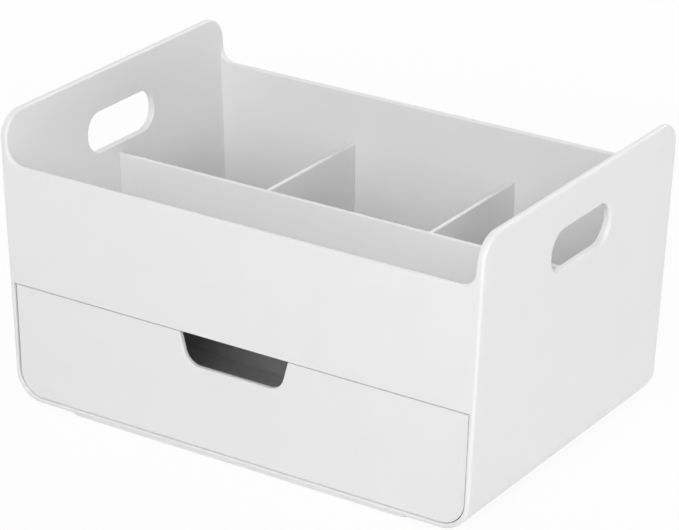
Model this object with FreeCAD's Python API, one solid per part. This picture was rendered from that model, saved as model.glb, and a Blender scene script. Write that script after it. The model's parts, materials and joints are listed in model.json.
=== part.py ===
import FreeCAD, Part
import os
from math import radians, sin, tan

# Desk organizer with a drawer. Millimetres, +Z up, the drawer opens towards -Y.
# The origin is at the middle of the footprint, on the desk.

V = FreeCAD.Vector

# Outer shell. Widths and depths are measured at desk level, where the drafted walls would meet it.
WIDTH = 250.0
DEPTH = 173.1
HEIGHT = 144.3                # top of the raised side walls
RIM_HEIGHT = 120.6            # top of the front fascia and the rear wall
SIDE_DRAFT = 2.3              # degrees, side walls lean outwards
FACE_DRAFT = 0.28             # degrees, front and rear walls lean outwards
BOTTOM_CORNER_R = 14.6        # long lower corners of the shell
TOP_CORNER_R = 12.5           # front and rear corners of each raised side wall
RIM_SWEEP_R = 8.0             # hollow sweep from a low rim up to a side wall
CURVE_SHARE = 0.95            # most of a raised wall's height that those two curves may take up
OUTER_EDGE_R = 1.5
RIM_EDGE_R = 1.1

# Walls, measured at the height of the low rims.
SIDE_WALL = 4.0
FRONT_WALL = 2.7
REAR_WALL = 3.1
INNER_SIDE_DRAFT = 2.7        # degrees
INNER_FACE_DRAFT = 0.7        # degrees
BASE_THICKNESS = 2.2
INNER_CORNER_R = 10.0         # long lower corners of the rear cells

# Foot ring under the base and its non-slip pads.
FOOT_HEIGHT = 1.5             # from the desk up to the shell's bottom face
FOOT_WIDTH = 194.0
FOOT_SETBACK = 1.0            # from the front and rear faces
FOOT_CORNER_R = 9.0
FOOT_RING = 14.0
PAD_DIAMETER = 10.0
PAD_THICKNESS = 1.2
PAD_PROUD = 0.3
PAD_INSET = 1.0               # from the middle line of the ring
PAD_EDGE_R = 0.3
PAD_POCKET_CLEARANCE = 0.1

# Handle slots through the side walls.
SLOT_LENGTH = 52.6
SLOT_HEIGHT = 20.3
SLOT_CORNER_R = 9.7
SLOT_CENTRE_Z = 114.6
SLOT_OUTER_EDGE_R = 1.4       # softer for the fingers than the inner edge
SLOT_INNER_EDGE_R = 0.7

# Drawer front, its bay, and the finger notch.
DRAWER_WIDTH = 245.0          # at desk level
DRAWER_DRAFT = 1.67           # degrees
DRAWER_TOP = 60.1
DRAWER_RECESS = 1.0           # from the front face back to the drawer front
DRAWER_SIDE_GAP = 0.75
DRAWER_TOP_GAP = 1.0
DRAWER_BOTTOM_GAP = 0.2
DRAWER_CORNER_R = 12.6
BAY_EDGE_R = 0.4
PANEL_THICKNESS = 2.6
PANEL_EDGE_R = 0.3
NOTCH_WIDTH = 59.4            # at the drawer's top edge
NOTCH_DEPTH = 15.5
NOTCH_SLOPE = 15.0            # degrees, its sides lean inwards
NOTCH_CORNER_R = 8.5
NOTCH_EDGE_R = 0.6

# Drawer tray, runners and stops.
TRAY_INSET = 0.9              # tray sides lie inside the drawer front's outline
TRAY_WALL = 1.8
TRAY_HEIGHT = 56.0
TRAY_UNDERSIDE = 5.5
TRAY_FLOOR = 2.0
TRAY_REAR_GAP = 0.5           # to the long divider
TRAY_ROOT = 0.3               # how far the tray's walls run into the drawer front
TRAY_EDGE_R = 0.6
RUNNER_WIDTH = 1.6
RUNNER_SPAN = 180.0
RUNNER_CLEARANCE = 0.2
STOP_THICKNESS = 2.0
STOP_DROP = 2.8               # how far the case's lugs hang below the ledge
STOP_OVERLAP = 2.0            # how much of a lug the drawer's tab meets
LUG_ROOT = 0.4                # how far a lug runs into the side wall
TAB_WIDTH = 6.0
TAB_HEIGHT = 6.0              # of the drawer's tab below the tray's top edge
STOP_CLEARANCE = 0.3
DRAWER_TRAVEL = 62.0

# Dividers and compartment floor.
DIVIDER_THICKNESS = 2.3
LONG_DIVIDER_TOP = 99.5
LONG_DIVIDER_Y = -1.25        # its rear face
CROSS_DIVIDER_TOP = 94.5
CELL_WIDTH = 88.9             # middle rear cell, between the cross dividers
DIVIDER_EDGE_R = 0.8
PEG_LENGTH = 18.0             # of the flat pegs under the dividers
PEG_DEPTH = 1.2
LONG_PEG_SPAN = 150.0
CROSS_PEG_SPAN = 44.0
FIT_CLEARANCE = 0.1
FLOOR_THICKNESS = 2.2
LEDGE_WIDTH = 2.5
LEDGE_THICKNESS = 1.6

# Derived levels and planes.
base_top = FOOT_HEIGHT + BASE_THICKNESS
bay_top = DRAWER_TOP + DRAWER_TOP_GAP
ledge_top = bay_top + LEDGE_THICKNESS
drawer_bottom = base_top + DRAWER_BOTTOM_GAP
tray_floor_top = TRAY_UNDERSIDE + TRAY_FLOOR
divider_front_y = LONG_DIVIDER_Y - DIVIDER_THICKNESS
tray_rear_y = divider_front_y - TRAY_REAR_GAP
tab_front_y = tray_rear_y - TRAY_WALL
base_middle = FOOT_HEIGHT + BASE_THICKNESS / 2
raised = HEIGHT - RIM_HEIGHT
curve_scale = min(1.0, CURVE_SHARE * raised / (TOP_CORNER_R + RIM_SWEEP_R))
top_corner_r = curve_scale * TOP_CORNER_R
rim_sweep_r = curve_scale * RIM_SWEEP_R
reach = 2.0 * max(WIDTH, DEPTH, HEIGHT)      # beyond every face, for cutting tools
SKY = HEIGHT + 5.0                           # above every wall, for cutting tools
NEAR = 0.05                                  # tolerance in finding edges by their place
SHARP = 20.0                                 # degrees, faces that meet at more than this form an edge
MEETS = 1e-6                                 # points that are no further apart are one point


def slope(degrees):
    return tan(radians(degrees))


def outer_x(z):
    return WIDTH / 2 + z * slope(SIDE_DRAFT)


def outer_y(z):
    return DEPTH / 2 + z * slope(FACE_DRAFT)


def inner_x(z):
    return outer_x(RIM_HEIGHT) - SIDE_WALL - (RIM_HEIGHT - z) * slope(INNER_SIDE_DRAFT)


def inner_front_y(z):
    return -(outer_y(RIM_HEIGHT) - FRONT_WALL - (RIM_HEIGHT - z) * slope(INNER_FACE_DRAFT))


def inner_rear_y(z):
    return outer_y(RIM_HEIGHT) - REAR_WALL - (RIM_HEIGHT - z) * slope(INNER_FACE_DRAFT)


def drawer_x(z):
    return DRAWER_WIDTH / 2 + z * slope(DRAWER_DRAFT)


def bay_x(z):
    return drawer_x(z) + DRAWER_SIDE_GAP


def drawer_y(z):
    """Outer face of the drawer front."""
    return -outer_y(z) + DRAWER_RECESS


def tray_x(z):
    return drawer_x(z) - TRAY_INSET


def on_xz(y):
    return lambda a, b: V(a, y, b)


def on_yz(x):
    return lambda a, b: V(x, a, b)


def on_xy(z):
    return lambda a, b: V(a, b, z)


def outline(corners, place):
    """Face inside corners (a, b, radius), each rounded by a tangent arc where its radius is above zero."""
    count = len(corners)
    stops = []
    for i, (a, b, radius) in enumerate(corners):
        corner = place(a, b)
        back = (place(*corners[i - 1][:2]) - corner).normalize()
        ahead = (place(*corners[(i + 1) % count][:2]) - corner).normalize()
        if radius <= 0:
            stops.append((corner, None, corner))
            continue
        half = back.getAngle(ahead) / 2
        inwards = (back + ahead).normalize()
        run = radius / tan(half)
        middle = corner + inwards * (radius / sin(half) - radius)
        stops.append((corner + back * run, middle, corner + ahead * run))
    edges = []
    for i, (start, middle, end) in enumerate(stops):
        if middle is not None:
            edges.append(Part.Arc(start, middle, end).toShape())
        following = stops[(i + 1) % count][0]
        if (following - end).Length > MEETS:
            edges.append(Part.LineSegment(end, following).toShape())
    return Part.Face(Part.Wire(edges))


def prism_y(corners, y0, y1):
    return outline(corners, on_xz(y0)).extrude(V(0, y1 - y0, 0))


def prism_x(corners, x0, x1):
    return outline(corners, on_yz(x0)).extrude(V(x1 - x0, 0, 0))


def prism_z(corners, z0, z1):
    return outline(corners, on_xy(z0)).extrude(V(0, 0, z1 - z0))


def block(x0, x1, y0, y1, z0, z1):
    return Part.makeBox(x1 - x0, y1 - y0, z1 - z0, V(x0, y0, z0))


def drafted(half_width, z0, z1, radius):
    """XZ corners of a section that is symmetric about X = 0, with rounded lower corners."""
    left = -half_width(z0)
    right = half_width(z0)
    return [(left, z0, radius), (right, z0, radius), (half_width(z1), z1, 0), (-half_width(z1), z1, 0)]


def face_normal(face, point):
    u, v = face.Surface.parameter(point)
    return face.normalAt(u, v)


def sharp_edges(solid, wanted):
    """Edges between faces that meet at a sharp angle, where the edge's middle point passes the test."""
    found = []
    for edge in solid.Edges:
        faces = solid.ancestorsOfType(edge, Part.Face)
        if len(faces) != 2:
            continue
        middle = edge.valueAt((edge.FirstParameter + edge.LastParameter) / 2)
        turn = face_normal(faces[0], middle).getAngle(face_normal(faces[1], middle))
        if turn > radians(SHARP) and wanted(middle):
            found.append(edge)
    return found


def rounded(solid, radius, wanted):
    return solid.makeFillet(radius, sharp_edges(solid, wanted))


def shell_blank():
    """Solid outside of the shell: a drafted block with rounded lower and upper corners."""
    across = drafted(outer_x, FOOT_HEIGHT, SKY, BOTTOM_CORNER_R)
    along = [
        (-outer_y(0), 0, 0),
        (outer_y(0), 0, 0),
        (outer_y(HEIGHT), HEIGHT, top_corner_r),
        (-outer_y(HEIGHT), HEIGHT, top_corner_r),
    ]
    blank = prism_y(across, -reach, reach).common(prism_x(along, -reach, reach))
    return rounded(blank, OUTER_EDGE_R, lambda p: True)


def hollow(z0, z1, corner_radius, clearance=0.0):
    """Space between the walls from z0 up to z1, drawn in by the clearance."""
    across = drafted(lambda z: inner_x(z) - clearance, z0, z1, corner_radius)
    along = [
        (inner_front_y(z0) + clearance, z0, 0),
        (inner_rear_y(z0) - clearance, z0, 0),
        (inner_rear_y(z1) - clearance, z1, 0),
        (inner_front_y(z1) + clearance, z1, 0),
    ]
    return prism_y(across, -reach, reach).common(prism_x(along, -reach, reach))


def rectangle(half_x, half_y, radius):
    ends = [(-half_x, -half_y), (half_x, -half_y), (half_x, half_y), (-half_x, half_y)]
    return [(x, y, radius) for x, y in ends]


def rim_line(side_x):
    """XZ corners across a low rim: up one side wall's face, along the rim and up the other."""
    return [
        (-side_x(SKY), SKY, 0),
        (-side_x(RIM_HEIGHT), RIM_HEIGHT, rim_sweep_r),
        (side_x(RIM_HEIGHT), RIM_HEIGHT, rim_sweep_r),
        (side_x(SKY), SKY, 0),
    ]


def rim_cove(face_y, far_y):
    """Sliver that rounds the inner edge of a low rim and fades out where the sweep meets the side wall."""
    left_side = [(-reach, base_top, 0), (-reach, SKY, 0)]
    right_side = [(reach, SKY, 0), (reach, base_top, 0)]
    below = left_side + rim_line(inner_x) + right_side
    section = [(far_y, base_top, 0), (face_y(base_top), base_top, 0), (face_y(SKY), SKY, 0), (far_y, SKY, 0)]
    wall = prism_y(below, -reach, reach).common(prism_x(section, -reach, reach))

    def is_inner_edge(p):
        return abs(p.y - face_y(p.z)) < NEAR and RIM_HEIGHT - NEAR < p.z < SKY - NEAR

    soft = rounded(wall, RIM_EDGE_R, is_inner_edge)
    between = prism_y(drafted(inner_x, base_top, SKY, 0), -reach, reach)
    return wall.cut(soft).common(between)


def is_rim(p):
    """Outer edges of the low rims and the edges round the top of the side walls."""
    at_face = abs(p.y) > outer_y(p.z) - NEAR
    return p.z > RIM_HEIGHT - NEAR and (at_face or p.z > HEIGHT - top_corner_r)


def slot_outline():
    half_length = SLOT_LENGTH / 2
    low = SLOT_CENTRE_Z - SLOT_HEIGHT / 2
    high = SLOT_CENTRE_Z + SLOT_HEIGHT / 2
    ends = [(-half_length, low), (half_length, low), (half_length, high), (-half_length, high)]
    return [(y, z, SLOT_CORNER_R) for y, z in ends]


def is_slot(p):
    near_y = abs(p.y) < SLOT_LENGTH / 2 + NEAR
    near_z = abs(p.z - SLOT_CENTRE_Z) < SLOT_HEIGHT / 2 + NEAR
    return near_y and near_z


def shell():
    """Walls with their rims and handle slots, still without the drawer bay."""
    solid = shell_blank().cut(hollow(base_top, SKY, INNER_CORNER_R))
    solid = solid.cut(prism_y(rim_line(inner_x), -reach, reach))
    solid = solid.cut(rim_cove(inner_front_y, -reach))
    solid = solid.cut(rim_cove(inner_rear_y, reach))
    solid = rounded(solid, RIM_EDGE_R, is_rim)
    solid = solid.cut(prism_x(slot_outline(), -reach, reach))
    solid = rounded(solid, SLOT_OUTER_EDGE_R, lambda p: is_slot(p) and abs(p.x) > outer_x(p.z) - NEAR)
    return rounded(solid, SLOT_INNER_EDGE_R, lambda p: is_slot(p) and abs(p.x) < inner_x(p.z) + NEAR)


def drawer_bay():
    """Opening for the drawer, from the front face back to the long divider."""
    across = drafted(bay_x, base_top, bay_top, DRAWER_CORNER_R + DRAWER_SIDE_GAP)
    return prism_y(across, -reach, divider_front_y)


def is_bay_mouth(p):
    in_height = base_top - NEAR < p.z < bay_top + NEAR
    return p.y < -outer_y(p.z) + NEAR and in_height and abs(p.x) < bay_x(p.z) + NEAR


def ledge():
    """Ledge over the drawer bay, round the foot of the front compartment."""
    mouth_x = inner_x(ledge_top) - LEDGE_WIDTH
    mouth_y = inner_front_y(ledge_top) + LEDGE_WIDTH
    plate = block(-reach, reach, -reach, divider_front_y, bay_top, ledge_top)
    plate = plate.cut(block(-mouth_x, mouth_x, mouth_y, reach, bay_top, ledge_top))
    return plate.common(shell_blank())


def stop_lug(side):
    """Lug under the ledge that holds a tab of the drawer at full travel."""
    rear = tab_front_y - DRAWER_TRAVEL - STOP_CLEARANCE
    inside = side * (inner_x(ledge_top) - LEDGE_WIDTH)
    outside = side * (bay_x(bay_top) + LUG_ROOT)
    low = bay_top - STOP_DROP
    return block(min(inside, outside), max(inside, outside), rear - STOP_THICKNESS, rear, low, ledge_top)


def pad_places():
    """Middle of each pad, at the corners of the foot ring."""
    x = FOOT_WIDTH / 2 - FOOT_RING / 2 - PAD_INSET
    y = outer_y(0) - FOOT_SETBACK - FOOT_RING / 2 - PAD_INSET
    return [(side * x, end * y) for end in (-1, 1) for side in (-1, 1)]


def foot_ring():
    half_x = FOOT_WIDTH / 2
    half_y = outer_y(0) - FOOT_SETBACK
    outside = rectangle(half_x, half_y, FOOT_CORNER_R)
    inside = rectangle(half_x - FOOT_RING, half_y - FOOT_RING, FOOT_CORNER_R / 2)
    return prism_z(outside, PAD_PROUD, base_middle).cut(prism_z(inside, PAD_PROUD, FOOT_HEIGHT))


def pad(x, y, radius):
    return Part.makeCylinder(radius, PAD_THICKNESS, V(x, y, 0))


def divider_pegs(clearance=0.0):
    """Flat pegs under the dividers, by divider; with a clearance, the pockets for them in the base."""
    low = base_top - PEG_DEPTH
    long_half = PEG_LENGTH / 2 + clearance
    thin_half = DIVIDER_THICKNESS / 2 + clearance
    long_y = LONG_DIVIDER_Y - DIVIDER_THICKNESS / 2
    cell_middle_y = (LONG_DIVIDER_Y + inner_rear_y(base_top)) / 2

    def peg(x, y, half_x, half_y):
        return block(x - half_x, x + half_x, y - half_y, y + half_y, low, base_top)

    pegs = {"long": [peg(side * LONG_PEG_SPAN / 2, long_y, long_half, thin_half) for side in (-1, 1)]}
    for name, side in (("left", -1), ("right", 1)):
        x = side * (CELL_WIDTH + DIVIDER_THICKNESS) / 2
        places = [cell_middle_y - CROSS_PEG_SPAN / 2, cell_middle_y + CROSS_PEG_SPAN / 2]
        pegs[name] = [peg(x, y, thin_half, long_half) for y in places]
    return pegs


def case():
    """Outer moulding: walls, drawer bay, ledge, stop lugs and foot ring."""
    solid = shell().cut(drawer_bay())
    solid = rounded(solid, BAY_EDGE_R, is_bay_mouth)
    solid = solid.fuse([ledge(), stop_lug(-1), stop_lug(1), foot_ring()])
    pockets = [pad(x, y, PAD_DIAMETER / 2 + PAD_POCKET_CLEARANCE) for x, y in pad_places()]
    for group in divider_pegs(FIT_CLEARANCE).values():
        pockets += group
    return solid.cut(pockets).removeSplitter()


def long_divider():
    """Wall across the case behind the drawer, with a rib that carries the compartment floor."""
    plate = hollow(base_top, LONG_DIVIDER_TOP, INNER_CORNER_R, FIT_CLEARANCE)
    plate = plate.common(block(-reach, reach, divider_front_y, LONG_DIVIDER_Y, 0, reach))
    plate = rounded(plate, DIVIDER_EDGE_R, lambda p: p.z > LONG_DIVIDER_TOP - NEAR and abs(p.x) < NEAR)
    rib_x = inner_x(ledge_top) - LEDGE_WIDTH - FIT_CLEARANCE
    rib = block(-rib_x, rib_x, divider_front_y - LEDGE_WIDTH, divider_front_y, bay_top, ledge_top)
    return plate.fuse([rib] + divider_pegs()["long"]).removeSplitter()


def cross_divider(name, side):
    """Lower wall from the long divider to the rear wall."""
    near = side * CELL_WIDTH / 2
    far = near + side * DIVIDER_THICKNESS
    plate = hollow(base_top, CROSS_DIVIDER_TOP, 0, FIT_CLEARANCE)
    plate = plate.common(block(min(near, far), max(near, far), LONG_DIVIDER_Y, reach, 0, reach))
    rear_y = inner_rear_y(CROSS_DIVIDER_TOP) - FIT_CLEARANCE

    def is_long_top_edge(p):
        return p.z > CROSS_DIVIDER_TOP - NEAR and LONG_DIVIDER_Y + NEAR < p.y < rear_y - NEAR

    plate = rounded(plate, DIVIDER_EDGE_R, is_long_top_edge)
    return plate.fuse(divider_pegs()[name]).removeSplitter()


def compartment_floor():
    plate = hollow(ledge_top, ledge_top + FLOOR_THICKNESS, 0, FIT_CLEARANCE)
    return plate.common(block(-reach, reach, -reach, divider_front_y, 0, reach))


def drawer_front():
    across = drafted(drawer_x, drawer_bottom, DRAWER_TOP, DRAWER_CORNER_R)
    along = [
        (drawer_y(0), 0, 0),
        (drawer_y(0) + PANEL_THICKNESS, 0, 0),
        (drawer_y(RIM_HEIGHT) + PANEL_THICKNESS, RIM_HEIGHT, 0),
        (drawer_y(RIM_HEIGHT), RIM_HEIGHT, 0),
    ]
    return prism_y(across, -reach, reach).common(prism_x(along, -reach, reach))


def notch_cut():
    """Finger notch in the drawer front's upper edge."""
    half = NOTCH_WIDTH / 2
    lean = slope(NOTCH_SLOPE)
    low_half = half - NOTCH_DEPTH * lean
    low = DRAWER_TOP - NOTCH_DEPTH
    above = half + (SKY - DRAWER_TOP) * lean
    left = [(-above, SKY, 0), (-low_half, low, NOTCH_CORNER_R)]
    right = [(low_half, low, NOTCH_CORNER_R), (above, SKY, 0)]
    return prism_y(left + right, -reach, reach)


def is_notch(p):
    return abs(p.x) < NOTCH_WIDTH / 2 and DRAWER_TOP - NOTCH_DEPTH - NEAR < p.z < DRAWER_TOP - NEAR


def is_front_outline(p):
    return p.y < drawer_y(p.z) + NEAR and not is_notch(p)


def tray_front_y():
    """Where the tray's walls start, a little inside the drawer front."""
    return drawer_y(TRAY_HEIGHT) + PANEL_THICKNESS - TRAY_ROOT


def tray():
    """Open tray behind the drawer front."""
    front_y = tray_front_y()
    radius = DRAWER_CORNER_R - TRAY_INSET
    outside = drafted(tray_x, TRAY_UNDERSIDE, TRAY_HEIGHT, radius)
    inside = drafted(lambda z: tray_x(z) - TRAY_WALL, tray_floor_top, SKY, radius - TRAY_WALL)
    solid = prism_y(outside, front_y, tray_rear_y).cut(prism_y(inside, -reach, tab_front_y))
    return rounded(solid, TRAY_EDGE_R, lambda p: p.z > TRAY_HEIGHT - NEAR and p.y > front_y + NEAR)


def tray_tab(side):
    """Tab on the tray's rear wall that meets a stop lug."""
    outside = side * tray_x(TRAY_HEIGHT)
    inside = outside - side * TAB_WIDTH
    top = bay_top - STOP_DROP + STOP_OVERLAP
    low = TRAY_HEIGHT - TAB_HEIGHT
    return block(min(inside, outside), max(inside, outside), tab_front_y, tray_rear_y, low, top)


def runner(side):
    x = side * RUNNER_SPAN / 2
    low = base_top + RUNNER_CLEARANCE
    high = TRAY_UNDERSIDE + TRAY_FLOOR / 2
    return block(x - RUNNER_WIDTH / 2, x + RUNNER_WIDTH / 2, tray_front_y(), tray_rear_y, low, high)


def drawer():
    """One moulding: front panel with its notch, tray, runners and stop tabs."""
    panel = drawer_front().cut(notch_cut())
    panel = rounded(panel, NOTCH_EDGE_R, is_notch)
    panel = rounded(panel, PANEL_EDGE_R, is_front_outline)
    extras = [tray(), tray_tab(-1), tray_tab(1), runner(-1), runner(1)]
    return panel.fuse(extras).removeSplitter()


def foot_pad(x, y):
    return rounded(pad(x, y, PAD_DIAMETER / 2), PAD_EDGE_R, lambda p: p.z < PAD_EDGE_R)


def main():
    os.makedirs("parts", exist_ok=True)
    nodes = {
        "case": case(),
        "long_divider": long_divider(),
        "cross_divider_left": cross_divider("left", -1),
        "cross_divider_right": cross_divider("right", 1),
        "compartment_floor": compartment_floor(),
        "drawer": drawer(),
    }
    for number, (x, y) in enumerate(pad_places(), start=1):
        nodes["foot_pad_%d" % number] = foot_pad(x, y)
    for name, shape in nodes.items():
        print(name, shape.isValid(), len(shape.Solids), round(shape.Volume), shape.BoundBox)
        shape.exportStep("parts/%s.step" % name)


main()
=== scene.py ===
# %% [markdown]
# # A desk organizer with a drawer
#
# The organizer is one white moulded box. Its side walls stand higher than its front and back and have
# handle slots. Low dividers make three deep cells at the back, a floor over the drawer makes one long
# compartment at the front, and the drawer below it is opened by a finger notch.
#
# The solid model already has every shape at its real size, in metres, with the desk at Z = 0 and the front
# towards -Y. This lesson gives it what solids can't have: the finish of the plastic, a rubber tread under
# the pads, a floor, lamps and a camera.

# %% Load the solid model
import json
from math import cos, pi, radians, sin

import bmesh
import bpy
from mathutils import Matrix, Vector


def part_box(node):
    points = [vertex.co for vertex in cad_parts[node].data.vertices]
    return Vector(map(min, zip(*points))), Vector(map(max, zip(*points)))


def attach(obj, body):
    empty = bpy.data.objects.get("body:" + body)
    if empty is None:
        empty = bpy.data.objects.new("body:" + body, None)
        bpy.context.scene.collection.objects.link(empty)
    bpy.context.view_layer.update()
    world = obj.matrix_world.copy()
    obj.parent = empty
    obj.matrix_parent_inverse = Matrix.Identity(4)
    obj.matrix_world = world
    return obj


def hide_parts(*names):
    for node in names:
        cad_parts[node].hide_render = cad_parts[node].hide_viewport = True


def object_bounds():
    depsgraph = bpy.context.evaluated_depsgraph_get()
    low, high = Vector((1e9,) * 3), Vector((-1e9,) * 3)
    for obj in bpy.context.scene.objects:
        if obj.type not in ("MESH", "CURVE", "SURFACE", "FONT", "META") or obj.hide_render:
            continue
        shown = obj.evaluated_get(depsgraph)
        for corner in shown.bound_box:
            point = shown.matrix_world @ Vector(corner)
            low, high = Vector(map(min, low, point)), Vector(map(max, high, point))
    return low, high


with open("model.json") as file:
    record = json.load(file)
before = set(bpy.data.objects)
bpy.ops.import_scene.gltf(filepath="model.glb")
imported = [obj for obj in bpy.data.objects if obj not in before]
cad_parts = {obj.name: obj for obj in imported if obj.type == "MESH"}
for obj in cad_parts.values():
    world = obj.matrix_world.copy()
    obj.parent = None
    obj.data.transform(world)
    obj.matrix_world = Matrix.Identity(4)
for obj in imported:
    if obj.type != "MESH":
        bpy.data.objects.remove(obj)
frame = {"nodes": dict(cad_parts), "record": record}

MM = 0.001
cad_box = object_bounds()
low_corner, high_corner = (Vector(corner) for corner in cad_box)
print("solid model", [round(side / MM, 1) for side in high_corner - low_corner], "mm")

# %% [markdown]
# ## The camera
#
# The box is seen from its front right corner, a little from above, so that the front, one side and the
# compartments all show. A camera's place and its three angles are enough to repeat such a view: how far it
# is turned round the box, how far it looks down, and how far it leans. A long lens keeps the upright edges
# nearly parallel, as product pictures do.

# %% Camera
CAMERA_YAW = radians(32.986)
CAMERA_PITCH = radians(23.440)
CAMERA_ROLL = radians(0.614)
CAMERA_PLACE = Vector((752.05, -1156.87, 667.89)) * MM
CAMERA_LENS = 169.42
CAMERA_SIGHT = 20             # metres, far enough for every view


def aimed(yaw, pitch, roll):
    """Turn of a camera that looks ahead, down by the pitch, and leans by the roll."""
    ahead = Vector((-sin(yaw) * cos(pitch), cos(yaw) * cos(pitch), -sin(pitch)))
    level = Vector((cos(yaw), sin(yaw), 0))
    up = level.cross(ahead)
    right = cos(roll) * level + sin(roll) * up
    top = -sin(roll) * level + cos(roll) * up
    return Matrix((right, top, -ahead)).transposed().to_4x4()


camera = bpy.data.objects.new("camera", bpy.data.cameras.new("camera"))
camera.data.lens = CAMERA_LENS
camera.data.clip_end = CAMERA_SIGHT
camera.matrix_world = Matrix.Translation(CAMERA_PLACE) @ aimed(CAMERA_YAW, CAMERA_PITCH, CAMERA_ROLL)
bpy.context.scene.collection.objects.link(camera)
bpy.context.scene.camera = camera
print("camera at", [round(value, 3) for value in CAMERA_PLACE])

# %% [markdown]
# ## A helper for shader trees
#
# Every finish below is a tree of nodes. One helper makes a node, sets its options, and fills its sockets:
# a number or colour is written into a socket, and another node's output is linked to it. With it, a tree
# reads from top to bottom like a recipe.

# %% Node helper
COLOUR_A, COLOUR_B = 6, 7     # inputs of a Mix node that mixes colours
MIXED_COLOUR = 2              # its output


def add(tree, kind, values=None, **settings):
    """A node of that kind. Each value is written into its socket, or linked where it is a socket itself."""
    made = tree.nodes.new(kind)
    for name, setting in settings.items():
        setattr(made, name, setting)
    for key, value in (values or {}).items():
        if isinstance(value, bpy.types.NodeSocket):
            tree.links.new(value, made.inputs[key])
        else:
            made.inputs[key].default_value = value
    return made


def empty_tree(owner):
    """The owner's node tree with nothing in it."""
    owner.use_nodes = True
    owner.node_tree.nodes.clear()
    return owner.node_tree


def maths(tree, operation, first, second):
    """What one sum or comparison of two values gives."""
    return add(tree, "ShaderNodeMath", {0: first, 1: second}, operation=operation).outputs[0]


def grey(level):
    """A neutral colour of that level."""
    return (level, level, level, 1.0)


# %% [markdown]
# ## Studio light
#
# White plastic only shows its shape where the light differs from face to face. The brightest light comes
# from a little right of the front and not from high up: the front is brightest, the tops of the rims stay a
# shade darker, and some light reaches down into the finger notch. A weaker lamp at the front left softens
# the shadows in the compartments. A lamp on the right, low beside the floor, lifts that side to nearly the
# level of the front, and two more light the back and the left side. A faint world fills what is left, as
# the walls of a light tent do. What the camera or a gloss sees behind the object is plain white, through
# the Light Path node, so the backdrop can be brighter than the light on the object.

# %% World
SKY_LEVEL = 0.06
BACKDROP_LEVEL = 1.0


def background_rays(tree):
    """1 for the rays that show what lies behind the object: seen straight, in a gloss or through it."""
    path = add(tree, "ShaderNodeLightPath").outputs
    straight_or_gloss = maths(tree, "MAXIMUM", path["Is Camera Ray"], path["Is Glossy Ray"])
    return maths(tree, "MAXIMUM", straight_or_gloss, path["Is Transmission Ray"])


world = bpy.data.worlds.new("light_tent")
bpy.context.scene.world = world
tree = empty_tree(world)
glow = add(tree, "ShaderNodeBackground", {"Color": grey(1.0), "Strength": SKY_LEVEL})
backdrop = add(tree, "ShaderNodeBackground", {"Color": grey(1.0), "Strength": BACKDROP_LEVEL})
sky = add(tree, "ShaderNodeMixShader", {0: background_rays(tree), 1: glow.outputs[0], 2: backdrop.outputs[0]})
add(tree, "ShaderNodeOutputWorld", {"Surface": sky.outputs[0]})
bpy.context.scene.view_settings.view_transform = "Standard"
print("world", SKY_LEVEL, "backdrop", BACKDROP_LEVEL)

# %% Lamps
LAMP_DISTANCE = 2.0
LAMP_SIZE = 1.2
LAMP_TARGET = Vector((0, 0, 0.07))


def softbox(name, azimuth, elevation, watts):
    """Square lamp that faces the object. Azimuth 0 is in front of it, 90 on its right."""
    around = radians(azimuth)
    upwards = radians(elevation)
    outwards = Vector((sin(around) * cos(upwards), -cos(around) * cos(upwards), sin(upwards)))
    lamp = bpy.data.objects.new(name, bpy.data.lights.new(name, "AREA"))
    lamp.data.shape = "SQUARE"
    lamp.data.size = LAMP_SIZE
    lamp.data.energy = watts
    place = Matrix.Translation(LAMP_TARGET + LAMP_DISTANCE * outwards)
    lamp.matrix_world = place @ outwards.to_track_quat("Z", "Y").to_matrix().to_4x4()
    bpy.context.scene.collection.objects.link(lamp)
    print(name, watts, "W")


softbox("front", azimuth=16, elevation=26, watts=15.7)
softbox("front_right", azimuth=35, elevation=40, watts=11.1)
softbox("front_left", azimuth=-40, elevation=50, watts=4.2)
softbox("low_right", azimuth=90, elevation=5, watts=17.9)
softbox("back", azimuth=180, elevation=45, watts=17.0)
softbox("left", azimuth=-90, elevation=30, watts=9.0)

# %% [markdown]
# ## The floor
#
# The organizer stands on a plain white sheet. A sheet that is only lit would turn grey near the object, so
# for the same rays most of it glows at plain white, and the rest is lit as usual and keeps the soft shadow
# that ties the object to the ground. Further out the glow takes over wholly, so that the sheet's end melts
# into the white behind it. The sheet ends before the lamps do, or their lower edges would draw a line on it.

# %% Floor
FLOOR_HALF = 1.6
FLOOR_DROP = 0.2 * MM         # keeps the sheet clear of the pads' lowest faces
FLOOR_WHITE = 0.90
FLOOR_GLOW_SHARE = 0.93       # near the object
GLOW_GROWS_FROM = 0.25
GLOW_FULL_FROM = 0.90


def floor_sheet():
    """One square face just under the pads."""
    sheet = bmesh.new()
    corners = [(-1, -1), (1, -1), (1, 1), (-1, 1)]
    sheet.faces.new([sheet.verts.new((x * FLOOR_HALF, y * FLOOR_HALF, -FLOOR_DROP)) for x, y in corners])
    mesh = bpy.data.meshes.new("floor")
    sheet.to_mesh(mesh)
    sheet.free()
    return bpy.data.objects.new("floor", mesh)


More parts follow.
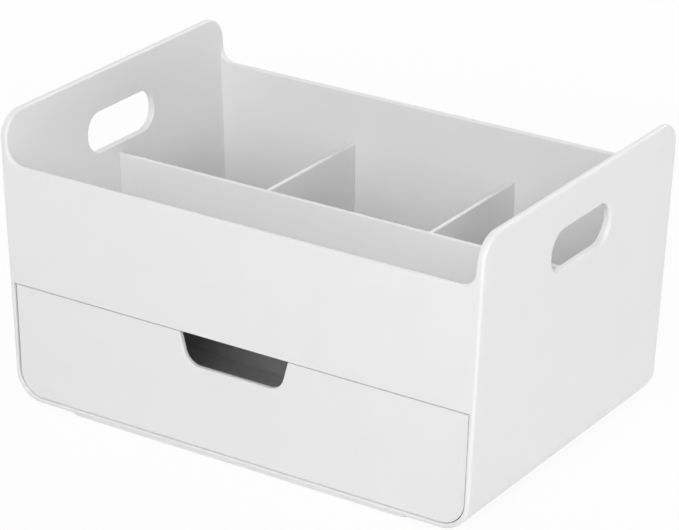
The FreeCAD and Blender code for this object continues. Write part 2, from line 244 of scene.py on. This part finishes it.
def floor_finish():
    """White that is lit as usual under a glow, which grows with the distance from the object."""
    material = bpy.data.materials.new("white_sheet")
    tree = empty_tree(material)
    lit = add(tree, "ShaderNodeBsdfDiffuse", {"Color": grey(FLOOR_WHITE)})
    glow = add(tree, "ShaderNodeEmission", {"Color": grey(1.0), "Strength": 1.0})
    where = add(tree, "ShaderNodeTexCoord").outputs["Object"]
    away = add(tree, "ShaderNodeVectorMath", {0: where}, operation="LENGTH")
    grown = add(tree, "ShaderNodeMapRange", {
        "Value": away.outputs["Value"],
        "From Min": GLOW_GROWS_FROM,
        "From Max": GLOW_FULL_FROM,
        "To Min": FLOOR_GLOW_SHARE,
        "To Max": 1.0,
    }, interpolation_type="SMOOTHSTEP")
    share = maths(tree, "MULTIPLY", background_rays(tree), grown.outputs[0])
    both = add(tree, "ShaderNodeMixShader", {0: share, 1: lit.outputs[0], 2: glow.outputs[0]})
    add(tree, "ShaderNodeOutputMaterial", {"Surface": both.outputs[0]})
    return material


floor = floor_sheet()
floor.data.materials.append(floor_finish())
bpy.context.scene.collection.objects.link(floor)
print("floor", 2 * FLOOR_HALF, "m wide")

# %% [markdown]
# ## What moulded plastic looks like
#
# The real box is injection moulded in a satin white. Seen close, such a skin is never one flat colour:
#
# - the mould's fine eroded grain breaks up each reflection, at a third of a millimetre;
# - the flat walls sink a little where they cooled last, so that a reflection bends slowly over centimetres;
# - the tint and the gloss wander a little from place to place;
# - edges are rubbed smooth and a trace greyer, and so are the places that fingers reach for;
# - the floors of the compartments carry thin scuffs from what was slid over them.
#
# Each of these is one small function that returns a pattern from 0 to 1. They all read Object coordinates:
# the patterns sit in the material itself, in metres, and need no unwrapping.

# %% Patterns
def clouds(tree, where, size, detail=2.0):
    """Soft random pattern whose blobs are about that size across."""
    noise = add(tree, "ShaderNodeTexNoise", {"Vector": where, "Scale": 1 / size, "Detail": detail})
    return noise.outputs[0]


def ranged(tree, value, start, end, to_start=0.0, to_end=1.0):
    """The value's stretch from start to end, eased over to the other stretch."""
    eased = add(tree, "ShaderNodeMapRange", {
        "Value": value,
        "From Min": start,
        "From Max": end,
        "To Min": to_start,
        "To Max": to_end,
    }, interpolation_type="SMOOTHSTEP")
    return eased.outputs[0]


def rubbed_edges(tree, where):
    """1 where the surface turns sharply within the reach, in patches as rubbing leaves them."""
    EDGE_REACH = 1.2 * MM
    EDGE_STARTS, EDGE_FULL = 0.995, 0.93      # how alike the flat and the softened normal are
    PATCH = 6 * MM
    PATCH_STARTS, PATCH_FULL = 0.3, 0.6
    flat = add(tree, "ShaderNodeNewGeometry").outputs["Normal"]
    soft = add(tree, "ShaderNodeBevel", {"Radius": EDGE_REACH}, samples=4).outputs[0]
    alike = add(tree, "ShaderNodeVectorMath", {0: flat, 1: soft}, operation="DOT_PRODUCT").outputs["Value"]
    edge = ranged(tree, alike, EDGE_STARTS, EDGE_FULL)
    patches = ranged(tree, clouds(tree, where, PATCH), PATCH_STARTS, PATCH_FULL)
    return maths(tree, "MULTIPLY", edge, patches)


def touched(tree, where, spots, reach):
    """1 round the spots that fingers reach for, out to a third of the reach, and 0 beyond the reach."""
    near = 0.0
    for spot in spots:
        away = add(tree, "ShaderNodeVectorMath", {0: where, 1: spot}, operation="DISTANCE").outputs["Value"]
        near = maths(tree, "MAXIMUM", near, ranged(tree, away, reach, reach / 3))
    return near


def scuffs(tree, where, low, high, turns):
    """Thin streaks on what lies between two levels, one set along each turn about Z, in degrees."""
    STREAK_WIDTH = 0.5 * MM
    STREAK_LENGTH = 22 * MM
    STREAK_STARTS, STREAK_FULL = 0.62, 0.74
    level = add(tree, "ShaderNodeSeparateXYZ", {0: where}).outputs["Z"]
    from_middle = maths(tree, "SUBTRACT", level, (low + high) / 2)
    inside = maths(tree, "LESS_THAN", maths(tree, "ABSOLUTE", from_middle, 0.0), (high - low) / 2)
    streaks = 0.0
    for turn in turns:
        turned = add(tree, "ShaderNodeMapping", {"Vector": where, "Rotation": (0, 0, radians(turn))})
        stretched = add(tree, "ShaderNodeVectorMath", {
            0: turned.outputs[0],
            1: (1 / STREAK_WIDTH, 1 / STREAK_LENGTH, 1 / STREAK_LENGTH),
        }, operation="MULTIPLY")
        noise = add(tree, "ShaderNodeTexNoise", {"Vector": stretched.outputs[0], "Scale": 1.0, "Detail": 1.0})
        streaks = maths(tree, "MAXIMUM", streaks, ranged(
            tree, noise.outputs[0], STREAK_STARTS, STREAK_FULL))
    return maths(tree, "MULTIPLY", streaks, inside)


print("patterns ready")

# %% [markdown]
# ## The white plastic
#
# One function puts these patterns together, because every white piece comes from the same kind of mould.
# What differs is given to it: each piece has its own batch of plastic, so its shade is a hair off the next
# one's, and its own places that get touched or scuffed. The colour is mixed from two near whites, the
# roughness falls where the surface is rubbed, and two bumps, one fine and one broad, make the skin.
# The specular level stays one number for the whole surface, so it is written on the shader itself.

# %% White plastic
PLASTIC_WHITE = 0.82
SHADE_SPREAD = 0.012          # how far the tint wanders within a piece
SHADE_WANDER = 18 * MM        # over what distance it does
PLASTIC_ROUGHNESS = 0.42
GLOSS_SPREAD = 0.035
GLOSS_WANDER = 45 * MM
PLASTIC_SPECULAR = 0.5

TOUCH_REACH = 42 * MM
TOUCH_WEAR = 0.5              # wear by fingers, where a rubbed edge has 1
RUB_TINT = grey(0.70)
RUB_TINT_SHARE = 0.16
RUB_POLISH = 0.12             # roughness that full wear takes off
SCUFF_DULLING = 0.15          # roughness that a scuff adds

GRAIN = 0.35 * MM
GRAIN_DEPTH = 0.006 * MM
GRAIN_STRENGTH = 0.6
RUB_DEPTH = 0.2               # how far wear and scuffs go down, as shares of the grain's depth
SCUFF_DEPTH = 0.8
SINK = 32 * MM                # how far apart the hollows of a cooled wall are
SINK_DEPTH = 0.05 * MM


def moulded_white(name, shade=1.0, spots=(), scuffed=None):
    """Satin white plastic of one piece. scuffed gives the lowest and highest level and the streaks' turns."""
    material = bpy.data.materials.new(name)
    tree = empty_tree(material)
    where = add(tree, "ShaderNodeTexCoord").outputs["Object"]
    wander = clouds(tree, where, SHADE_WANDER)
    edge = rubbed_edges(tree, where)
    hand = touched(tree, where, spots, TOUCH_REACH)
    worn = maths(tree, "MAXIMUM", edge, maths(tree, "MULTIPLY", hand, TOUCH_WEAR))

    bright = PLASTIC_WHITE * shade
    tint = add(tree, "ShaderNodeMix", {
        "Factor": wander,
        COLOUR_A: grey(bright - SHADE_SPREAD),
        COLOUR_B: grey(bright + SHADE_SPREAD),
    }, data_type="RGBA")
    rubbed = add(tree, "ShaderNodeMix", {
        "Factor": maths(tree, "MULTIPLY", worn, RUB_TINT_SHARE),
        COLOUR_A: tint.outputs[MIXED_COLOUR],
        COLOUR_B: RUB_TINT,
    }, data_type="RGBA")

    gloss = ranged(tree, clouds(tree, where, GLOSS_WANDER), 0.25, 0.75,
                   PLASTIC_ROUGHNESS - GLOSS_SPREAD, PLASTIC_ROUGHNESS + GLOSS_SPREAD)
    roughness = maths(tree, "SUBTRACT", gloss, maths(tree, "MULTIPLY", worn, RUB_POLISH))
    if scuffed:
        marks = scuffs(tree, where, *scuffed)
        roughness = maths(tree, "ADD", roughness, maths(tree, "MULTIPLY", marks, SCUFF_DULLING))

    grain = clouds(tree, where, GRAIN, detail=3.0)
    skin = maths(tree, "SUBTRACT", grain, maths(tree, "MULTIPLY", worn, RUB_DEPTH))
    if scuffed:
        skin = maths(tree, "SUBTRACT", skin, maths(tree, "MULTIPLY", marks, SCUFF_DEPTH))
    fine = add(tree, "ShaderNodeBump", {
        "Height": skin,
        "Distance": GRAIN_DEPTH,
        "Strength": GRAIN_STRENGTH,
    })
    broad = add(tree, "ShaderNodeBump", {
        "Height": clouds(tree, where, SINK, detail=0.0),
        "Distance": SINK_DEPTH,
        "Strength": 1.0,
        "Normal": fine.outputs[0],
    })
    plastic = add(tree, "ShaderNodeBsdfPrincipled", {
        "Base Color": rubbed.outputs[MIXED_COLOUR],
        "Roughness": roughness,
        "Specular IOR Level": PLASTIC_SPECULAR,
        "Normal": broad.outputs[0],
    })
    add(tree, "ShaderNodeOutputMaterial", {"Surface": plastic.outputs[0]})
    return material


def finish(piece, material):
    """Gives a piece that one material."""
    piece.data.materials.clear()
    piece.data.materials.append(material)
    print(piece.name, "wears", material.name)


# %% [markdown]
# ## Dressing the white pieces
#
# The places that get touched are read from the model's own record, which names the openings that a hand
# goes into. The case is touched at its two handle slots and the drawer at its notch. The front
# compartment's floor is scuffed across both ways by small things, the drawer's tray mostly along its
# travel, and the case's base in the deep cells by whatever is dropped in.

# %% Openings that hands reach into
def middle_of(opening):
    """Middle of one of the record's openings, in metres."""
    boxes = {entry["name"]: entry["box_m"] for entry in frame["record"]["physics"]["openings"]}
    lowest, highest = (Vector(corner) for corner in boxes[opening])
    return (lowest + highest) / 2


slot_middles = [middle_of("handle_slot_left"), middle_of("handle_slot_right")]
notch_middle = middle_of("finger_notch")
print("hands reach for", [tuple(round(value, 3) for value in spot) for spot in slot_middles + [notch_middle]])

# %% Finish of the case, dividers, compartment floor and drawer
SCUFF_HEIGHT = 1.5 * MM       # scuffs lie on the floors, not on the walls
CELL_FLOOR = 3.7 * MM
TRAY_FLOOR = 7.5 * MM
CELL_STREAKS = (20, 80, 140)  # the streaks' turns about Z, in degrees
TRAY_STREAKS = (0, 8, 95)
COMPARTMENT_STREAKS = (15, 75, 120)
COMPARTMENT_SHADE = 0.995
DIVIDER_SHADE = 0.99


def floor_band(level):
    """Lowest and highest level that a floor's scuffs reach."""
    return level - SCUFF_HEIGHT, level + SCUFF_HEIGHT


nodes = frame["nodes"]
compartment_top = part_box("compartment_floor")[1].z
finish(nodes["case"], moulded_white(
    "case_plastic", spots=slot_middles, scuffed=(*floor_band(CELL_FLOOR), CELL_STREAKS)))
finish(nodes["drawer"], moulded_white(
    "drawer_plastic", spots=[notch_middle], scuffed=(*floor_band(TRAY_FLOOR), TRAY_STREAKS)))
finish(nodes["compartment_floor"], moulded_white(
    "compartment_plastic", COMPARTMENT_SHADE, scuffed=(*floor_band(compartment_top), COMPARTMENT_STREAKS)))
divider_plastic = moulded_white("divider_plastic", DIVIDER_SHADE)
for name in ("long_divider", "cross_divider_left", "cross_divider_right"):
    finish(nodes[name], divider_plastic)

# %% [markdown]
# ## Non-slip pads
#
# Four round rubber pads sit in pockets of the foot ring and stand a little proud, so the box rests on them
# and not on bare plastic. A plain disc would do for the solid model, but a real pad has a softly rounded
# rim and a tread of small studs that bite the desk. The disc is turned from a profile, as on a lathe: a few
# points from the middle out to the rim are spun round the pad's axis and closed where the two ends meet.

# %% Turned pad bodies
TREAD_HEIGHT = 0.15 * MM
RIM_ROUND = 0.3 * MM
RIM_STEPS = 4
PAD_SEGMENTS = 40
SAME_PLACE = 0.001 * MM

pad_names = sorted(name for name in nodes if name.startswith("foot_pad"))
pad_boxes = [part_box(name) for name in pad_names]
pad_radius = (pad_boxes[0][1].x - pad_boxes[0][0].x) / 2
pad_top = pad_boxes[0][1].z


def pad_profile():
    """Points (radius, height) of a pad's half section, from its tread's middle to its top's middle."""
    inner = pad_radius - RIM_ROUND
    middle_height = TREAD_HEIGHT + RIM_ROUND
    points = [(0.0, TREAD_HEIGHT)]
    for step in range(RIM_STEPS + 1):
        angle = pi / 2 * step / RIM_STEPS
        points.append((inner + RIM_ROUND * sin(angle), middle_height - RIM_ROUND * cos(angle)))
    return points + [(pad_radius, pad_top), (0.0, pad_top)]


def turn_pad(pads, centre):
    """Adds one pad round a centre to the mesh that is being built."""
    first = [pads.verts.new((centre.x + r, centre.y, z)) for r, z in pad_profile()]
    edges = [pads.edges.new(pair) for pair in zip(first, first[1:])]
    bmesh.ops.spin(pads, geom=first + edges, cent=(centre.x, centre.y, 0), axis=(0, 0, 1), angle=2 * pi,
                   steps=PAD_SEGMENTS, use_merge=True)


def pad_bodies():
    """All the pads without their tread, in one object."""
    pads = bmesh.new()
    for lowest, highest in pad_boxes:
        turn_pad(pads, (lowest + highest) / 2)
    bmesh.ops.remove_doubles(pads, verts=pads.verts, dist=SAME_PLACE)
    bmesh.ops.recalc_face_normals(pads, faces=pads.faces)
    mesh = bpy.data.meshes.new("pad_bodies")
    pads.to_mesh(mesh)
    pads.free()
    body = bpy.data.objects.new("pad_bodies", mesh)
    bpy.context.scene.collection.objects.link(body)
    return body


bodies = pad_bodies()
print(len(pad_boxes), "pads", round(2 * pad_radius / MM, 1), "mm across,", len(bodies.data.polygons), "faces")

# %% [markdown]
# ## Rubber
#
# Rubber is nearly matt, and its tint is greyer than the plastic. Dust sticks to it, which shows as paler
# clouds, and its skin is a little coarser than the plastic's.

# %% Rubber finish
RUBBER_TINT = grey(0.56)
DUST_TINT = (0.63, 0.63, 0.62, 1.0)
DUST_SIZE = 2.5 * MM
DUST_STARTS, DUST_FULL = 0.4, 0.7
RUBBER_ROUGHNESS = 0.72
DUST_ROUGHNESS = 0.86
RUBBER_SPECULAR = 0.35
RUBBER_GRAIN = 0.2 * MM
RUBBER_GRAIN_DEPTH = 0.02 * MM
RUBBER_GRAIN_STRENGTH = 0.7


def pad_rubber():
    """Matt grey rubber with paler dust on it."""
    material = bpy.data.materials.new("pad_rubber")
    tree = empty_tree(material)
    where = add(tree, "ShaderNodeTexCoord").outputs["Object"]
    dust = ranged(tree, clouds(tree, where, DUST_SIZE, detail=3.0), DUST_STARTS, DUST_FULL)
    tint = add(tree, "ShaderNodeMix", {
        "Factor": dust,
        COLOUR_A: RUBBER_TINT,
        COLOUR_B: DUST_TINT,
    }, data_type="RGBA")
    skin = add(tree, "ShaderNodeBump", {
        "Height": clouds(tree, where, RUBBER_GRAIN),
        "Distance": RUBBER_GRAIN_DEPTH,
        "Strength": RUBBER_GRAIN_STRENGTH,
    })
    rubber = add(tree, "ShaderNodeBsdfPrincipled", {
        "Base Color": tint.outputs[MIXED_COLOUR],
        "Roughness": ranged(tree, dust, 0.0, 1.0, RUBBER_ROUGHNESS, DUST_ROUGHNESS),
        "Specular IOR Level": RUBBER_SPECULAR,
        "Normal": skin.outputs[0],
    })
    add(tree, "ShaderNodeOutputMaterial", {"Surface": rubber.outputs[0]})
    return material


rubber = pad_rubber()
print("made", rubber.name)

# %% [markdown]
# ## The tread, with Geometry Nodes
#
# Each pad carries some sixty studs. Placing them by hand would be slow and hard to change, so a Geometry
# Nodes tree does it: a grid of points is cut to a circle, a stud is put on each point, and that patch is
# put on the four corners of a second grid, one point of which lies at each pad. The sizes are inputs of
# the tree, so the pitch or the stud can be changed without touching the nodes. The tree ends in Realize
# Instances and Set Material, because only real faces leave Blender.

# %% Tread tree
STUD_PITCH = 1.05 * MM
STUD_RADIUS = 0.38 * MM
STUD_TIP_SHARE = 0.7          # a stud's radius at its tip, as a share of its radius at the pad
STUD_SIDES = 10
TREAD_MARGIN = 0.75 * MM      # plain rubber round the studs
TREAD_RADIUS = pad_radius - TREAD_MARGIN


def tread_tree(material):
    """Tree that adds studs under pads which stand at the corners of a rectangle."""
    tree = bpy.data.node_groups.new("pad_tread", "GeometryNodeTree")
    tree.interface.new_socket("Geometry", in_out="INPUT", socket_type="NodeSocketGeometry")
    for name in ("Pad Span X", "Pad Span Y", "Tread Radius", "Stud Pitch", "Stud Radius", "Stud Height"):
        tree.interface.new_socket(name, in_out="INPUT", socket_type="NodeSocketFloat")
    tree.interface.new_socket("Geometry", in_out="OUTPUT", socket_type="NodeSocketGeometry")
    given = add(tree, "NodeGroupInput").outputs

    across = maths(tree, "MULTIPLY", given["Tread Radius"], 2.0)
    count = maths(tree, "ADD", maths(tree, "DIVIDE", across, given["Stud Pitch"]), 1.0)
    points = add(tree, "GeometryNodeMeshGrid", {
        "Size X": across,
        "Size Y": across,
        "Vertices X": count,
        "Vertices Y": count,
    }).outputs["Mesh"]
    place = add(tree, "GeometryNodeInputPosition").outputs[0]
    away = add(tree, "ShaderNodeVectorMath", {0: place}, operation="LENGTH").outputs["Value"]
    outside = add(tree, "FunctionNodeCompare", {0: away, 1: given["Tread Radius"]}, operation="GREATER_THAN")
    disc = add(tree, "GeometryNodeDeleteGeometry", {"Geometry": points, "Selection": outside.outputs[0]})

    stud = add(tree, "GeometryNodeMeshCone", {
        "Vertices": STUD_SIDES,
        "Radius Top": maths(tree, "MULTIPLY", given["Stud Radius"], STUD_TIP_SHARE),
        "Radius Bottom": given["Stud Radius"],
        "Depth": given["Stud Height"],
    }).outputs["Mesh"]
    hanging = add(tree, "GeometryNodeTransform", {"Geometry": stud, "Rotation": (pi, 0, 0)})
    raised = add(tree, "ShaderNodeCombineXYZ", {"Z": given["Stud Height"]})
    stud_low = add(tree, "GeometryNodeTransform", {
        "Geometry": hanging.outputs[0],
        "Translation": raised.outputs[0],
    })
    patch = add(tree, "GeometryNodeInstanceOnPoints", {
        "Points": disc.outputs[0],
        "Instance": stud_low.outputs[0],
    })

    corners = add(tree, "GeometryNodeMeshGrid", {
        "Size X": given["Pad Span X"],
        "Size Y": given["Pad Span Y"],
        "Vertices X": 2,
        "Vertices Y": 2,
    })
    treads = add(tree, "GeometryNodeInstanceOnPoints", {
        "Points": corners.outputs["Mesh"],
        "Instance": patch.outputs[0],
    })
    joined = add(tree, "GeometryNodeJoinGeometry")
    tree.links.new(given["Geometry"], joined.inputs[0])
    tree.links.new(treads.outputs[0], joined.inputs[0])
    real = add(tree, "GeometryNodeRealizeInstances", {"Geometry": joined.outputs[0]})
    dressed = add(tree, "GeometryNodeSetMaterial", {"Geometry": real.outputs[0], "Material": material})
    add(tree, "NodeGroupOutput", {0: dressed.outputs[0]})
    return tree


# %% Run the tree and keep a plain mesh
def made_real(base, tree, sizes, name):
    """What the tree makes of the base, as a plain mesh in an object of its own. The base is removed."""
    modifier = base.modifiers.new("tree", "NODES")
    modifier.node_group = tree
    for item in tree.interface.items_tree:
        if item.in_out == "INPUT" and item.name in sizes:
            modifier[item.identifier] = sizes[item.name]
    bpy.context.view_layer.update()
    evaluated = base.evaluated_get(bpy.context.evaluated_depsgraph_get())
    mesh = bpy.data.meshes.new_from_object(evaluated)
    mesh.name = name
    bpy.data.objects.remove(base)
    piece = bpy.data.objects.new(name, mesh)
    bpy.context.scene.collection.objects.link(piece)
    return piece


pad_middles = [(lowest + highest) / 2 for lowest, highest in pad_boxes]
span_x = max(middle.x for middle in pad_middles) - min(middle.x for middle in pad_middles)
span_y = max(middle.y for middle in pad_middles) - min(middle.y for middle in pad_middles)
foot_pads = made_real(bodies, tread_tree(rubber), {
    "Pad Span X": span_x,
    "Pad Span Y": span_y,
    "Tread Radius": TREAD_RADIUS,
    "Stud Pitch": STUD_PITCH,
    "Stud Radius": STUD_RADIUS,
    "Stud Height": TREAD_HEIGHT,
}, "foot_pads")
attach(foot_pads, "body")
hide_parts(*pad_names)
print("foot pads", len(foot_pads.data.polygons), "faces")
